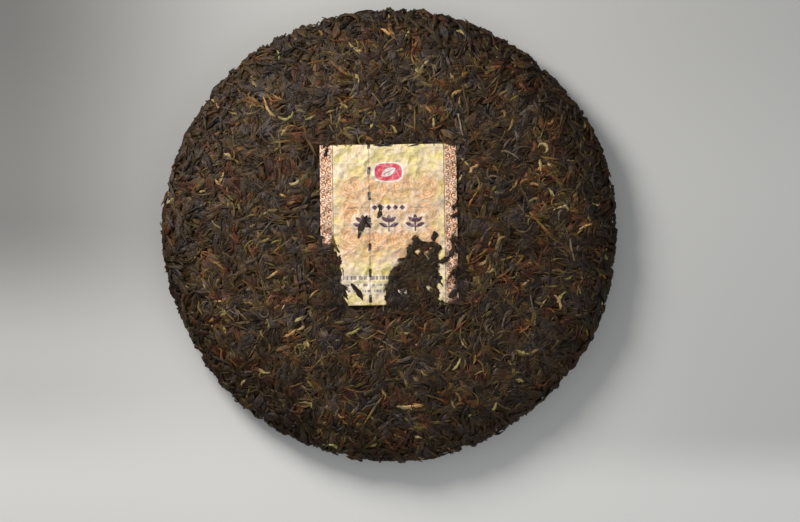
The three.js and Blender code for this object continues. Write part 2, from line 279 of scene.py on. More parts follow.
# Outlines of a leaf's cross-section, as shares of its half width and half thickness, from the left
# edge over the top to the right edge: broad leaves with several folds, a folded leaf with a groove,
# and a rounder bud or stem.
RIBBED = np.array([
    (-1, -0.3), (-0.82, 0.6), (-0.55, 0), (-0.3, 0.8), (-0.02, 0), (0.3, 0.9), (0.5, 0), (0.8, 0.7),
    (1, -0.3),
])
CREASED = np.array([
    (-1, -0.3), (-0.8, 0.8), (-0.45, 0.1), (-0.1, 0.95), (0.25, 0.2), (0.7, 1), (1, -0.3),
])
FOLDED = np.array([(-1, -0.4), (-0.6, 0.95), (0.05, 0.15), (0.55, 1), (1, -0.4)])
ROLLED = np.array([(-1, -0.5), (-0.45, 0.95), (0.4, 1), (1, -0.5)])

STRIP_TAPER = (0.35, 0.75, 0.95, 1, 1, 0.9, 0.65, 0.2)
LONG_TAPER = (0.3, 0.6, 0.85, 1, 1, 1, 0.95, 0.8, 0.5, 0.15)
LARGE_TAPER = (0.35, 0.85, 1, 0.85, 0.3)
BROAD_TAPER = (0.3, 0.8, 1, 1, 0.9, 0.65, 0.25)
BUD_TAPER = (0.35, 0.8, 1, 0.98, 0.86, 0.66, 0.4, 0.12)
STEM_TAPER = (0.75, 1, 0.97, 0.95, 0.9, 0.7)
CRUMB_TAPER = (0.5, 1, 0.4)

FLOOR = 0.02  # the lowest that a leaf reaches
OVER_PAPER = 0.7  # how much higher the leaves lie that cover the ticket
UNDER_PAPER = 0.1  # the highest that leaves reach that run in under the ticket's straight edges
TUCKED = 0.7  # how far outside those edges they are already that low
PATCHINESS = 0.3  # how much lighter or darker some patches of leaves are
PATCH_WAVES = (  # the waves that make the patches: length, and heading and start in radians
    (31, 0.4, 0.3), (23, 1.7, 2.2), (17, 2.6, 4.1), (41, 3.4, 1.0), (13, 0.9, 5.3),
)
LOOSE_SHARE = 0.45  # share of the leaves that lie any way, and not as those round them
HEADING_SPREAD = 0.55  # how much the other leaves' headings differ, in radians
CLUSTER_LEVEL = 0.13  # where the slow pattern is higher than this, clustered leaves lie
CLUSTER_BLUR = 0.2  # how unevenly that holds
GOLDEN_TURN = 3 - math.sqrt(5)  # half turns from each start to the next, which spread them evenly
UNEVEN_TAPER = (0.8, 1.15)  # what a leaf's width and thickness vary by along it
RAGGED = 0.16  # how unevenly a leaf's edges run, as a share of its half width
WRINKLED = 0.28  # how unevenly its ridges stand, as a share of its half thickness


def paths(along, angle, heading, length, curl, wave, stations):
    """The middle lines of many leaves at once: each walks over the smooth cake and turns by its curl.
    Gives points, normals and directions, each as leaves x stations x 3."""
    point, normal, out, round_ = surface(along, angle)
    direction = out * np.cos(heading)[:, None] + round_ * np.sin(heading)[:, None]
    step = (length / (stations - 1))[:, None]
    line = []
    for i in range(stations):
        line.append((point, normal, direction))
        moved = point + direction * step
        along = nearest_run(along, moved)
        point, normal, _, _ = surface(along, np.arctan2(moved[:, 1], moved[:, 0]))
        turn = (curl + wave * math.cos(2 * math.pi * i / (stations - 1))) / (stations - 1)
        flat = unit(direction - normal * np.sum(direction * normal, 1, keepdims=True))
        side = np.cross(normal, flat)
        direction = flat * np.cos(turn)[:, None] + side * np.sin(turn)[:, None]
    return (np.stack(part, 1) for part in zip(*line))


def strip_vertices(line, half_width, half_thickness, rise, twist, outline, press, under):
    """Vertices of many strips, as leaves x stations x points of the outline x 3. Middles that stand
    above the smooth cake are pressed back to a share of that. Strips marked under run in beneath the
    ticket, and the others rise over it."""
    point, normal, direction = line
    side = np.cross(normal, direction)
    cos, sin = np.cos(twist)[..., None], np.sin(twist)[..., None]
    shape = (*half_width.shape, len(outline))
    across = half_width[..., None] * (outline[:, 0] + rng.normal(0, RAGGED, shape))
    high = half_thickness[..., None] * (outline[:, 1] + rng.normal(0, WRINKLED, shape))
    sideways = across * cos - high * sin
    middle = rise[..., None] + across * sin
    height = high * cos + np.where(middle > 0, middle * press, middle)
    level = point[:, :, None] + side[:, :, None] * sideways[..., None]
    over = over_ticket(level)
    low = over_ticket(level, TUCKED) & under[:, None, None]
    height = np.where(low, np.minimum(height, UNDER_PAPER), height + OVER_PAPER * over)
    return level + normal[:, :, None] * height[..., None]


def over_ticket(point, margin=0):
    """True where a point of the front lies over the ticket or less than a margin beside it."""
    u, v = to_ticket(point[..., 0], point[..., 1])
    inside = (abs(u) < TICKET_WIDTH / 2 + margin) & (abs(v) < TICKET_HEIGHT / 2 + margin)
    return inside & (point[..., 2] > BELLY_HEIGHT)


def strip_faces(leaves, stations, count):
    """Side quads and end caps of strips whose outline has count points."""
    i, k = np.meshgrid(np.arange(stations - 1), np.arange(count), indexing="ij")
    a = i * count + k
    b = i * count + (k + 1) % count
    quads = np.stack([a, a + count, b + count, b], -1).reshape(-1, 4)
    first = np.arange(count)[None]
    last = (stations - 1) * count + np.arange(count)[::-1][None]
    offset = (np.arange(leaves) * stations * count)[:, None, None]
    caps = np.concatenate([first, last])
    return [(quads + offset).reshape(-1, 4), (caps + offset).reshape(-1, count)]


def meets_paper(line, half_width):
    """True for each leaf whose middle line or edges come over the paper that stays free of it."""
    point, normal, direction = line
    on_front = point[..., 2] > BELLY_HEIGHT
    side = np.cross(normal, direction) * half_width[..., None] * (1 + RAGGED)
    touched = np.zeros((len(KEPT_FREE), len(point)), bool)
    for spot in (point, point + side, point - side):
        for n, free in enumerate(KEPT_FREE):
            touched[n] |= np.any(grid_value(free, spot[..., 0], spot[..., 1]) & on_front, 1)
    return touched[rng.integers(0, len(KEPT_FREE), len(point)), np.arange(len(point))]


def patches(point):
    """A slow uneven pattern over the cake, from -1 to 1."""
    x, y = point[:, 0], point[:, 1]
    total = 0
    for length, heading, start in PATCH_WAVES:
        along = x * math.cos(heading) + y * math.sin(heading)
        total = total + np.sin(2 * math.pi * along / length + start)
    return total / len(PATCH_WAVES)


def leaf_arrays(form, along, angle, heading):
    """Vertices, face lists, uv and tone of leaves of one form from their starts."""
    count = len(along)
    outline = form["outline"]
    stations = len(form["taper"])

    def drawn(name):
        low, high = form[name]
        return rng.uniform(low, high, count)

    length, width, thick = drawn("length"), drawn("width"), drawn("thickness")
    curl = form["bend"] + rng.normal(0, form["curl"], count)
    wave = rng.normal(0, form["wave"], count)
    line = list(paths(along, angle, heading, length, curl, wave, stations))
    taper = np.array(form["taper"]) * rng.uniform(*UNEVEN_TAPER, (count, stations))
    half_width = width[:, None] / 2 * taper
    half_thickness = thick[:, None] / 2 * np.clip(taper * 1.2, 0, 1)
    share = np.linspace(-1, 1, stations)
    rise = drawn("base")[:, None] - drawn("sink")[:, None] * share**2
    rise = rise + rng.normal(0, form["tilt"], count)[:, None] * share
    rise = rise + drawn("splay")[:, None] * (share + 1) / 2
    twist = rng.normal(0, form["roll"], count)[:, None] + drawn("twist")[:, None] * share
    meets = meets_paper(line, half_width) & (not form["on_paper"])
    under = meets & ~over_ticket(line[0][:, 0])
    kept = under | ~meets
    line = [part[kept] for part in line]
    measures = (part[kept] for part in (half_width, half_thickness, rise, twist))
    vertices = strip_vertices(line, *measures, outline, form["press"], under[kept])
    shape = vertices.shape[:3]
    u = np.broadcast_to(np.linspace(0, 1, stations)[:, None], shape)
    v = np.broadcast_to(np.linspace(0, 1, len(outline)), shape)
    low, high = form["tone"]
    tone = rng.uniform(low, high, len(vertices)) + PATCHINESS * patches(line[0][:, 0])
    tone = np.broadcast_to(np.clip(tone, 0, 1)[:, None, None], shape)
    uv = np.stack([u.ravel(), v.ravel()], 1)
    return vertices.reshape(-1, 3), strip_faces(*shape), uv, tone.ravel()


def settled(vertices):
    """Cake vertices in their final place: out of round, above the floor and off the cake's axis."""
    final = out_of_round(vertices)
    final[:, 2] = np.maximum(final[:, 2], FLOOR)
    final[:, :2] += AXIS
    return final


def add_object(name, data, place=(0, 0, 0), facing=None):
    made = bpy.data.objects.new(name, data)
    made.location = place
    if facing is not None:
        made.rotation_mode = "QUATERNION"
        made.rotation_quaternion = facing.to_track_quat("-Z", "Y")
    bpy.context.scene.collection.objects.link(made)
    return made


def make_piece(name, vertices, face_lists, material, uv=None, tone=None, sharp=None):
    """A mesh object from arrays in millimetres. Sharp edges run along the strips of leaves: sharp says
    how many points their outlines have and at which of them these edges lie."""
    mesh = bpy.data.meshes.new(name)
    mesh.vertices.add(len(vertices))
    mesh.vertices.foreach_set("co", (vertices * MM).astype(np.float32).ravel())
    corners = np.concatenate([faces.ravel() for faces in face_lists])
    totals = np.concatenate([np.full(len(faces), faces.shape[1]) for faces in face_lists])
    starts = np.concatenate([[0], np.cumsum(totals)[:-1]])
    mesh.loops.add(len(corners))
    mesh.loops.foreach_set("vertex_index", corners.astype(np.int32))
    mesh.polygons.add(len(totals))
    mesh.polygons.foreach_set("loop_start", starts.astype(np.int32))
    mesh.polygons.foreach_set("loop_total", totals.astype(np.int32))
    mesh.update(calc_edges=True)
    mesh.polygons.foreach_set("use_smooth", np.ones(len(totals), bool))
    if uv is not None:
        layer = mesh.uv_layers.new(name="UVMap")
        layer.data.foreach_set("uv", uv[corners].astype(np.float32).ravel())
    if tone is not None:
        layer = mesh.attributes.new("tone", "FLOAT", "POINT")
        layer.data.foreach_set("value", tone.astype(np.float32))
    if sharp is not None:
        ends = np.zeros(len(mesh.edges) * 2, np.int32)
        mesh.edges.foreach_get("vertices", ends)
        points, lines = sharp
        k = ends.reshape(-1, 2) % points
        layer = mesh.attributes.new("sharp_edge", "BOOLEAN", "EDGE")
        layer.data.foreach_set("value", (k[:, 0] == k[:, 1]) & np.isin(k[:, 0], lines))
    mesh.materials.append(material)
    piece = add_object(name, mesh)
    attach(piece, "root")
    return piece


def shared_heading(x, y):
    """The heading that neighbouring leaves roughly share, which turns slowly over the cake."""
    return 1.6 * np.sin(x / 17 + 1.3) * np.cos(y / 21 - 0.4) + 1.3 * np.sin((x - y) / 29)


def spread(count, low, high):
    """Starts spread evenly over the cake's area between two ways along its section, a little
    shaken, with headings that neighbours roughly share."""
    first, last = np.interp([low, high], RUN, AREA)
    share = (np.arange(count) + rng.uniform(0, 1, count)) / count
    along = np.interp(first + share * (last - first), AREA, RUN)
    angle = np.arange(count) * math.pi * GOLDEN_TURN + rng.normal(0, 0.05, count)
    point, _, _, _ = surface(along, angle)
    loose = rng.random(count) < LOOSE_SHARE
    heading = shared_heading(point[:, 0], point[:, 1]) - angle
    heading = heading + rng.normal(0, HEADING_SPREAD, count)
    heading = heading + np.where(rng.random(count) < 0.5, math.pi, 0)
    return along, angle, np.where(loose, rng.uniform(0, 2 * math.pi, count), heading)


def clustered(starts):
    """Those of the starts that lie where the slow pattern, turned on its side, is high, so that they
    come in clusters."""
    along, angle, _ = starts
    point, _, _, _ = surface(along, angle)
    kept = patches(point[:, [1, 0]]) + rng.normal(0, CLUSTER_BLUR, len(along)) > CLUSTER_LEVEL
    return [part[kept] for part in starts]


# ---- materials


def sum_of(operation):
    """A Shader method that works out one kind of sum."""
    return lambda self, *values: self.math(operation, *values)


class Shader:
    """A material's node tree, with short ways to add nodes. Values are sockets or plain numbers."""

    def __init__(self, name, **settings):
        self.material = bpy.data.materials.new(name)
        self.material.use_nodes = True
        self.tree = self.material.node_tree
        self.surface = self.tree.nodes["Principled BSDF"]
        self.set(**settings)

    def set(self, **settings):
        for name, value in settings.items():
            self.feed(value, self.surface.inputs[name.replace("_", " ")])
        return self.material

    def feed(self, value, socket):
        if isinstance(value, bpy.types.NodeSocket):
            self.tree.links.new(value, socket)
        else:
            socket.default_value = value

    def node(self, kind, inputs=(), **settings):
        made = self.tree.nodes.new("ShaderNode" + kind)
        for name, value in settings.items():
            setattr(made, name, value)
        for name, value in dict(inputs).items():
            self.feed(value, made.inputs[name])
        return made

    def math(self, operation, *values):
        return self.node("Math", enumerate(values), operation=operation).outputs[0]

    plus, minus, times, over = sum_of("ADD"), sum_of("SUBTRACT"), sum_of("MULTIPLY"), sum_of("DIVIDE")
    abs, least, most = sum_of("ABSOLUTE"), sum_of("MINIMUM"), sum_of("MAXIMUM")

    def inverse(self, value):
        """What is missing to 1."""
        return self.minus(1.0, value)

    def mapped(self, value, start, end, low=0.0, high=1.0, how="LINEAR"):
        """Low up to start, high from end on, and what lies between in between."""
        inputs = {0: value, 1: start, 2: end, 3: low, 4: high}
        return self.node("MapRange", inputs, interpolation_type=how).outputs[0]

    def vector(self, x, y, z=0.0):
        return self.node("CombineXYZ", {0: x, 1: y, 2: z}).outputs[0]

    def parts(self, vector):
        return self.node("SeparateXYZ", {0: vector}).outputs

    def uv(self):
        """How far along and how far across the surface's own layout a spot is."""
        u, v, _ = self.parts(self.node("UVMap", uv_map="UVMap").outputs[0])
        return u, v

    def spot(self):
        """Where a spot of the surface is, in metres."""
        return self.node("TexCoord").outputs["Object"]

    def mix(self, share, first, second, how="MIX"):
        made = self.node("Mix", data_type="RGBA", blend_type=how)
        for place, value in ((0, share), (6, first), (7, second)):
            self.feed(value, made.inputs[place])
        return made.outputs[2]

    def ramp(self, value, stops, between="LINEAR"):
        made = self.node("ValToRGB", {"Fac": value})
        made.color_ramp.interpolation = between
        elements = made.color_ramp.elements
        while len(elements) < len(stops):
            elements.new(0.5)
        for element, (place, colour) in zip(elements, stops):
            element.position = place
            element.color = (*colour, 1)
        return made.outputs[0]

    def noise(self, place, scale, detail=3.0, roughness=0.5):
        inputs = {"Vector": place, "Scale": scale, "Detail": detail, "Roughness": roughness}
        return self.node("TexNoise", inputs).outputs[0]

    def bump(self, height, distance, strength=1.0, normal=None):
        inputs = {"Height": height, "Distance": distance, "Strength": strength}
        if normal is not None:
            inputs["Normal"] = normal
        return self.node("Bump", inputs).outputs[0]

    def edge(self, value, at, soft):
        """0 below at, 1 above it, with a soft step."""
        return self.mapped(value, at - soft / 2, at + soft / 2)

    def below(self, value, at, soft):
        return self.inverse(self.edge(value, at, soft))

    def band(self, value, low, high, soft):
        return self.minus(self.edge(value, low, soft), self.edge(value, high, soft))

    def warped(self, place, scale, reach):
        """Places moved about by a noise, up to half the reach each way."""
        shake = self.node("TexNoise", {"Vector": place, "Scale": scale, "Detail": 3.0}).outputs[1]
        centred = self.node("VectorMath", {0: shake, 1: (0.5, 0.5, 0.5)}, operation="SUBTRACT")
        moved = self.node("VectorMath", {0: centred.outputs[0], 3: reach}, operation="SCALE")
        return self.node("VectorMath", {0: place, 1: moved.outputs[0]}, operation="ADD").outputs[0]


# Colour of the pressed leaves by tone, from the darkest to the lightest, as linear red, green, blue.
DARK_TONES = (
    (0.0, (0.016, 0.008, 0.0036)),
    (0.3, (0.033, 0.019, 0.0088)),
    (0.55, (0.053, 0.0315, 0.016)),
    (0.75, (0.079, 0.047, 0.0225)),
    (0.9, (0.114, 0.0765, 0.042)),
    (1.0, (0.18, 0.126, 0.072)),
)
GOLD_TONES = (
    (0.0, (0.1, 0.063, 0.026)),
    (0.5, (0.2, 0.14, 0.072)),
    (1.0, (0.42, 0.325, 0.2)),
)
STEM_TONES = (
    (0.0, (0.09, 0.058, 0.026)),
    (1.0, (0.26, 0.18, 0.085)),
)
TINTS = (  # what each leaf's colour is multiplied with, from red brown over ochre to cool grey
    (0.0, (1.18, 0.67, 0.4)),
    (0.2, (1.1, 0.84, 0.44)),
    (0.42, (0.84, 0.95, 0.44)),
    (0.65, (0.93, 0.83, 0.72)),
    (1.0, (0.74, 0.84, 1.27)),
)
GOLD_TINTS = (
    (0.0, (1.08, 0.78, 0.5)),
    (0.5, (1.0, 0.97, 0.74)),
    (1.0, (0.88, 1.0, 0.56)),
)
OWN_TINT = 0.55  # how much of the tint differs from leaf to leaf
DRIFTING_TINT = 3.3  # and how much from place to place


def leaf_material(name, tones, tip=None):
    """Dry twisted leaf: streaks and wrinkles along it, with painted light on their raised parts and
    painted shade in their grooves, and little gloss. With tip, one end of each leaf is pale down and
    the other as dark as the cake."""
    s = Shader(name, Specular_IOR_Level=0.22)
    along, across = s.uv()
    tone = s.node("Attribute", attribute_name="tone").outputs["Fac"]
    spot = s.spot()
    leafwise = s.vector(s.times(along, 1.8), s.times(across, 4.0), s.times(tone, 57.0))
    streaks = s.noise(leafwise, 2.2, 4.0, 0.6)
    blotches = s.noise(spot, 420.0, 3.0, 0.6)
    drift = s.plus(tone, s.times(s.minus(blotches, 0.5), 0.35))
    # painted light and shade: the tone rises where the wrinkles stand high
    drift = s.plus(drift, s.times(s.minus(streaks, 0.5), 0.5))
    colour = s.ramp(drift, tones)
    if tip:
        dark = s.ramp(s.times(tone, 0.6), DARK_TONES)
        shown = s.edge(s.plus(along, s.times(streaks, 0.5)), tip, 0.35)
        colour = s.mix(shown, dark, colour)
    own = s.times(s.math("FRACT", s.times(tone, 17.3)), OWN_TINT)
    round_here = s.times(s.minus(s.noise(spot, 115.0, 2.0), 0.5), DRIFTING_TINT)
    mixed = s.plus(s.plus(own, 0.5 - OWN_TINT / 2), round_here)
    tint = s.ramp(mixed, GOLD_TINTS if tip else TINTS)
    colour = s.mix(1.0, colour, tint, "MULTIPLY")
    # painted shade in the wrinkles' grooves and painted light on their crests, from the noise that
    # bumps them
    ridges = s.mapped(streaks, 0.3, 0.75, 0.36, 1.85)
    colour = s.mix(1.0, colour, ridges, "MULTIPLY")
    wrinkles = s.bump(streaks, 0.00036, 1.0)
    grain = s.bump(s.noise(spot, 2600.0, 2.0), 0.00012, 0.6, wrinkles)
    rough = s.mapped(blotches, 0.3, 0.7, 0.36, 0.63)
    return s.set(Base_Color=colour, Roughness=rough, Normal=grain)


def core_material():
    s = Shader("tea_dust", Roughness=0.9, Specular_IOR_Level=0.1)
    spot = s.warped(s.spot(), 300.0, 0.004)
    flakes = s.node("TexVoronoi", {"Vector": spot, "Scale": 420.0}, feature="F1").outputs
    shade, _, _ = s.parts(flakes[1])
    colour = s.ramp(s.times(shade, 0.6), DARK_TONES)
    return s.set(Base_Color=colour, Normal=s.bump(flakes[0], 0.0012, 1.0))


# ---- the core


def make_core(material):
    """The pressed mass under the leaves: closed, a little below the smooth cake, and lumpy."""
    step, columns = 3.0, 200
    depth, side_depth, lumpiness = 0.8, 0.45, (-0.3, 0.15)
    rings = round(RUN[-1] / step)
    along = np.linspace(0, RUN[-1], rings + 1)[1:-1]
    angle = np.linspace(0, 2 * math.pi, columns, endpoint=False)
    a, b = np.meshgrid(along, angle, indexing="ij")
    point, normal, _, _ = surface(a.ravel(), b.ravel())
    lumps = rng.uniform(*lumpiness, len(point))
    at_side = np.hypot(point[:, 0], point[:, 1]) > SIDE_RADIUS
    sunk = np.where(at_side, side_depth, depth) - lumps
    ends = np.array([[0, 0, CROWN_HEIGHT - depth], [0, 0, DIMPLE_DEPTH + depth]])
    vertices = np.concatenate([point - normal * sunk[:, None], ends])
    quads, _ = strip_faces(1, rings - 1, columns)
    j = np.arange(columns)
    top, bottom = len(vertices) - 2, len(vertices) - 1
    last = (rings - 2) * columns
    crown = np.stack([np.full(columns, top), j, (j + 1) % columns], 1)
    hollow = np.stack([np.full(columns, bottom), last + (j + 1) % columns, last + j], 1)
    return make_piece("tea_core", settled(vertices), [quads, crown, hollow], material)


# ---- the kinds of leaf


COMMON = {
    "taper": STRIP_TAPER,
    "outline": FOLDED,
    "length": (6, 14),
    "width": (1.0, 1.9),
    "thickness": (0.8, 1.4),
    "bend": 0,  # turn over the leaf's length, in radians
    "curl": 0.8,  # how much that differs from leaf to leaf
    "wave": 0.8,  # how much leaves bend one way and then the other
    "base": (-0.8, 0.15),  # height of its middle over the smooth cake
    "sink": (0.1, 0.8),  # how much lower its ends are
    "splay": (0, 0),  # how much further its last end stands out
    "press": 0.35,  # share of its height over the smooth cake that it keeps
    "tilt": 0.3,  # how much one end is lower than the other
    "roll": 0.3,  # how much it leans over, in radians
    "twist": (-0.6, 0.6),  # how much more each end does
    "tone": (0, 1),  # from the darkest colour to the lightest
    "on_paper": False,  # true for those that lie on the ticket
}


def kind(**changes):
    """One kind of leaf: the common values with its own. Each pair is drawn from evenly."""
    return {**COMMON, **changes}


def spread_within(count, mask):
    """Starts at random places of the ticket's grid where the mask is true, with any headings."""
    row, column = np.nonzero(mask)
    pick = rng.integers(0, len(row), count)
    x, y = from_ticket(GRID_X[row[pick], column[pick]], GRID_Y[row[pick], column[pick]])
    return front_run(np.hypot(x, y)), np.arctan2(y, x), rng.uniform(0, 2 * math.pi, count)


def placed(x, y, heading, length):
    """Starts for leaves whose middles, headings in degrees and lengths are given."""
    heading = np.radians(heading)
    x, y = x - length / 2 * np.cos(heading), y - length / 2 * np.sin(heading)
    angle = np.arctan2(y, x)
    return front_run(np.hypot(x, y)), angle, heading - angle


def given(rows, **changes):
    """Starts and own values of leaves that are given one by one. Those on the paper are in the
    ticket's own plane."""
    x, y, heading, length, width, bend = np.array(rows).T
    if "on_paper" in changes:
        x, y = from_ticket(x, y)
    own = {"length": (length, length), "width": (width, width), "bend": bend, "curl": 0, "wave": 0,
           "sink": (0, 0.1), "tilt": 0.05}
    return placed(x, y, heading, length), {**own, **changes}


def lay(name, starts, leaf_kind, material, replaced="pressed_tea"):
    vertices, faces, uv, tone = leaf_arrays(leaf_kind, *starts)
    points = len(leaf_kind["outline"])
    edges = (points, (0, points - 1))
    piece = make_piece(name, settled(vertices), faces, material, uv, tone, edges)
    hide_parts(replaced)


LARGE = kind(taper=LARGE_TAPER, outline=RIBBED, length=(8, 15), width=(3.2, 5.5), thickness=(0.9, 1.4),
             curl=0.5, wave=0.3, base=(-0.6, -0.1), twist=(-0.15, 0.15), roll=0.08, tone=(0, 0.5))
BROAD = kind(taper=BROAD_TAPER, outline=CREASED, length=(6, 12), width=(2, 3.6), base=(-0.7, 0),
             curl=0.5, wave=0.4, twist=(-0.3, 0.3), tone=(0, 0.8))
STRIP = kind(base=(-0.8, 0.05), tone=(0, 0.9))
THIN = kind(taper=LONG_TAPER, outline=ROLLED, length=(6, 14), width=(0.5, 1.0), thickness=(0.5, 0.9),
            curl=1.2, wave=1.2, base=(-0.5, 0.15), tone=(0.1, 1))
CURLED = kind(taper=LONG_TAPER, outline=ROLLED, length=(6, 11), width=(0.7, 1.2), curl=3.0,
              thickness=(0.6, 1.0), base=(-0.4, 0.15), sink=(0, 0.4), tone=(0.35, 0.97))
BUD = kind(taper=BUD_TAPER, outline=ROLLED, length=(3.5, 8), width=(1, 1.9), curl=1.3,
           base=(-0.4, 0.15), sink=(0.1, 0.5), tone=(0, 0.9))
STICK = kind(taper=STEM_TAPER, outline=ROLLED, length=(7, 16), width=(0.6, 1.1), curl=0.25,
             wave=0.2, base=(-0.45, 0.1))
CRUMB = kind(taper=CRUMB_TAPER, outline=ROLLED, length=(0.7, 2), width=(0.4, 0.9),
             thickness=(0.3, 0.7), base=(0, 0.4), sink=(0, 0.2))
# Leaves at the side keep to dark tones: partly the rim's own darker leaves, partly painted shade where
# the rim turns away from the light.
AT_SIDE = {"splay": (-0.2, 1.4), "thickness": (1.2, 2.2), "base": (-0.7, 0.6), "press": 0.8,
           "tone": (0, 0.5)}
STANDING_OUT = {"splay": (0.3, 2.4), "base": (-0.1, 0.7), "length": (4, 9), "press": 0.9,
                "twist": (-1.2, 1.2), "tone": (0, 0.5)}

FRONT = (8.0, front_run(SIDE_RADIUS + 3))
SIDE = (front_run(SIDE_RADIUS), back_run(SIDE_RADIUS))
BACK = (back_run(SIDE_RADIUS + 3), RUN[-1] - 0.5)
ALL_ROUND = (8.0, RUN[-1] - 4)

# Golden tips and hooks that catch the eye on the front: middle, heading in degrees, length, width
# and bend in radians.
SHOWPIECES = (
    (72, 35.5, 20, 10, 1.5, 4.6), (35.4, 88.5, 60, 10, 1.3, 2.8), (56.6, 72.1, 35, 9, 1.4, 1.4),
    (-46.9, 46.5, 300, 10, 1.5, 2.9), (-53.5, 52.3, 290, 9, 1.3, 0.6), (-48.7, 78.2, 80, 7, 1.5, 0.8),
    (-76.4, 58, 100, 8, 1.4, 1.2), (-96, 13.1, 15, 5, 1.5, 0.5), (-35, 48.7, 10, 6, 1.4, 0.7),
    (-74.6, -15.1, 120, 8, 1.4, 0.9), (-51.3, -20.4, 20, 7, 1.3, 0.5), (-43.8, -46.8, 5, 8, 1.6, 0.9),
    (-52.2, -42, 60, 6, 1.3, 1.5), (-15.6, -45.5, 10, 9, 1.4, 0.6), (75.5, -31.4, 80, 8, 1.5, 1.3),
    (57.9, -54.3, 330, 7, 1.5, 0.5), (46.9, -78.1, 40, 9, 1.4, 1.2), (57.9, -66.2, 350, 6, 1.8, 0.3),
    (8.6, -77.2, 0, 12, 2.2, 0.15), (-21.8, -92.6, 70, 9, 1.4, 3.2), (30, -60, 30, 7, 1.3, 1),
)


def make_leaves():
    leaf = leaf_material("dry_leaf", DARK_TONES)
    gold = leaf_material("golden_tip", GOLD_TONES, tip=0.4)
    stem = leaf_material("leaf_stem", STEM_TONES)
    lay("front_leaves_large", spread(700, *FRONT), LARGE, leaf)
    lay("front_leaves_broad", spread(1300, *FRONT), BROAD, leaf)
    lay("front_leaves", spread(1900, *FRONT), STRIP, leaf)
    lay("front_leaves_thin", spread(1350, *FRONT), THIN, leaf)
    lay("front_leaves_curled", clustered(spread(1700, *FRONT)), CURLED, leaf)
    lay("front_tips", clustered(spread(700, *FRONT)), BUD, gold)
    lay("side_leaves", spread(1200, *SIDE), {**STRIP, **AT_SIDE}, leaf)
    lay("side_leaves_broad", spread(450, *SIDE), {**BROAD, **AT_SIDE}, leaf)
    lay("side_ends", spread(420, *SIDE), {**THIN, **STANDING_OUT}, leaf)
    lay("back_leaves_large", spread(950, *BACK), {**LARGE, "length": (7, 12)}, leaf)
    lay("back_leaves", spread(1000, *BACK), STRIP, leaf)
    lay("back_tips", spread(220, SIDE[0], RUN[-1] - 4), BUD, gold)
    lay("stems", spread(150, *ALL_ROUND), STICK, stem)
    lay("crumbs", spread(1100, *ALL_ROUND), CRUMB, leaf)
    hidden = ~PAPER_SHOWN
    cover = {"length": (3, 8), "curl": 0.6, "tone": (0, 0.6)}
    flakes, strips = {"base": (-0.2, 0.2), **cover}, {"base": (-0.1, 0.3), **cover}
    lay("flakes_over_ticket", spread_within(420, hidden), {**BROAD, **flakes}, leaf)
    lay("leaves_over_ticket", spread_within(650, hidden), {**STRIP, **strips}, leaf)
    starts, own = given(SHOWPIECES, base=(0.15, 0.35), tone=(0.4, 1), taper=LONG_TAPER)
    lay("golden_hooks", starts, {**BUD, **own}, gold)
    lying_on = {"base": (0.4, 0.5), "press": 1, "thickness": (0.6, 0.9), "tone": (0, 0.2)}
    starts, own = given(BITS_ON_TICKET, on_paper=True, **lying_on)
    lay("bits_on_ticket", starts, {**STRIP, **own}, leaf, "paper_ticket")


# ---- the ticket


def ridges(count, half_length, half_width, height, sharp):
    """The highest of many short ridges in random places of the ticket, each drawn from the ranges.
    Sharp ones are creases, and the others are round like the leaves beneath."""
    relief = np.zeros_like(GRID_X)
    for _ in range(count):
        x, y = rng.uniform(-0.5, 0.5, 2) * (TICKET_WIDTH, TICKET_HEIGHT)
        along, across = turned(GRID_X - x, GRID_Y - y, -rng.uniform(0, math.pi))
        along = along / rng.uniform(*half_length)
        across = across / rng.uniform(*half_width)
        side = 1 - abs(across) if sharp else np.sqrt(abs(1 - across**2))
        end = np.sqrt(abs(1 - along**2))
        inside = (abs(along) < 1) & (abs(across) < 1)
        relief = np.maximum(relief, np.where(inside, rng.uniform(*height) * side * end, 0))
    return relief


def paper_relief():
    """Height of the paper over its level: the leaves under it press through, it is creased, and
    leaves on it press it down."""
    leaves = ridges(420, (2, 6), (0.6, 1.6), (0.2, 0.8), sharp=False)
    creases = ridges(150, (3, 9), (0.7, 1.5), (0.25, 0.7), sharp=True)
    shown = blurred((PAPER_SHOWN | peepholes()).astype(float), 3)
    return blurred(np.maximum(leaves, creases), 1) * shown - PRESSED_UNDER * (1 - shown)


def ticket_ripple(x, y):
    return TICKET_RIPPLE * np.sin(x / 3.1 + y / 7.3) * np.sin(y / 4.2 - x / 9.7)


def make_ticket():
    """A thin closed sheet, as large as the whole ticket; leaves cover what doesn't show."""
    x, y = from_ticket(GRID_X, GRID_Y)
    top = front_height(np.hypot(x, y)) + PAPER_TOP + ticket_ripple(x, y) + paper_relief()
    row, column = (part.ravel() for part in np.indices((ROWS - 1, COLUMNS - 1)))
    a = row * COLUMNS + column
    upper = np.stack([a, a + 1, a + COLUMNS + 1, a + COLUMNS], 1)
    grid = COLUMNS * ROWS
    lower = upper[:, ::-1] + grid
    edges = np.concatenate([upper[:, [i, (i + 1) % 4]] for i in range(4)])
    there_and_back = edges @ [grid, 1], edges @ [1, grid]
    border = edges[~np.isin(*there_and_back)]
    walls = np.stack([border[:, 1], border[:, 0], border[:, 0] + grid, border[:, 1] + grid], 1)
    flat = np.stack([x + AXIS[0], y + AXIS[1], top], -1).reshape(-1, 3)
    vertices = np.concatenate([flat, flat - [0, 0, PAPER_THICKNESS]])
    uv = np.stack([GRID_X / TICKET_WIDTH + 0.5, 0.5 - GRID_Y / TICKET_HEIGHT], -1).reshape(-1, 2)
    faces = [upper, lower, walls]
    sheet = make_piece("ticket", vertices, faces, ticket_material(), np.concatenate([uv, uv]))
    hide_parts("paper_ticket")


